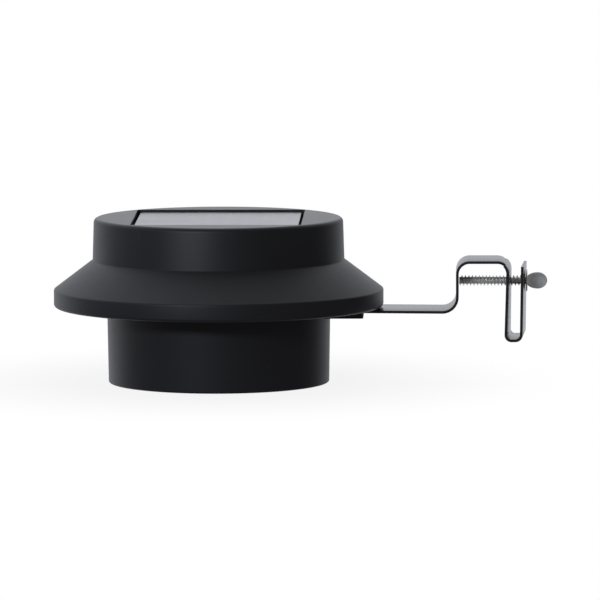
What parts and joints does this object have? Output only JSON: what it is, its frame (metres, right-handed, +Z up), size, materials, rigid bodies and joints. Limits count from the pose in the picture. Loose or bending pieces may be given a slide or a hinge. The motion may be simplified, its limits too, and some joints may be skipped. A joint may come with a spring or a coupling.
{
  "type": "fence light",
  "caption": "Round black solar fence light: capped lamp with a skirt, downward lens and a bent strip clamp with a thumb screw on one side.",
  "frame": {"origin": "on the lamp's vertical axis, in the plane of the foot rim that the lamp stands on", "axes": "+Z up, through the panel; +X from the lamp out along the strip clamp; -Y is the side that the screw's paddle faces"},
  "size_m": [0.1721, 0.115, 0.0576],
  "materials": {
    "housing_plastic": "fine satin-matt moulded black",
    "panel_laminate": "clear resin over dark cells",
    "foam_tape": "matt foam",
    "seal_rubber": "matt",
    "screw_steel": "zinc plated",
    "lens_clear": "clear",
    "reflector_white": "white satin",
    "circuit_board": "solder mask",
    "led_resin": "clear resin",
    "tray_plastic": "moulded",
    "component_black": "moulded",
    "battery_sleeve": "printed-free shrink sleeve",
    "contact_nickel": "nickel plated",
    "button_plastic": "matt",
    "strip_steel": "thin black finish with bare-looking sheen",
    "clamp_zinc": "dull zinc",
    "wire_insulation": "satin insulation"
  },
  "bodies": {
    "lamp": {"top_housing": "housing_plastic", "solar_panel": "panel_laminate", "panel_pad": "foam_tape", "lower_housing": "housing_plastic", "housing_seal": "seal_rubber", "housing_screws": "screw_steel", "lens": "lens_clear", "lens_gasket": "seal_rubber", "reflector": "reflector_white", "light_board": "circuit_board", "leds": "led_resin", "light_board_screws": "screw_steel", "component_tray": "tray_plastic", "tray_screws": "screw_steel", "control_board": "circuit_board", "control_components": "component_black", "control_board_screws": "screw_steel", "battery": "battery_sleeve", "battery_holder": "tray_plastic", "battery_contacts": "contact_nickel", "switch_body": "component_black", "bracket_strip": "strip_steel", "bracket_block": "housing_plastic", "bracket_screws": "screw_steel", "panel_leads": "wire_insulation", "battery_leads": "wire_insulation", "light_leads": "wire_insulation", "switch_leads": "wire_insulation"},
    "washer": {"screw_washer": "clamp_zinc"},
    "screw": {"clamp_screw": "clamp_zinc"},
    "button": {"switch_button": "button_plastic"}
  },
  "joints": [
    {"name": "clamp_travel", "type": "slide", "parent": "lamp", "child": "washer", "axis": [1, 0, 0], "range_m": [0, 0.016]},
    {"name": "clamp_spin", "type": "hinge", "parent": "washer", "child": "screw", "pos_m": [0.0952, 0, 0.03544], "axis": [1, 0, 0], "range_deg": [0, 4800]},
    {"name": "button_press", "type": "slide", "parent": "lamp", "child": "button", "axis": [0, 0, 1], "range_m": [0, 0.0012], "stiffness_N_per_m": 600, "springref_m": -0.0004}
  ],
  "couplings": [
    {"joint": "clamp_spin", "follows": "clamp_travel", "rad_per_m": 5236}
  ]
}
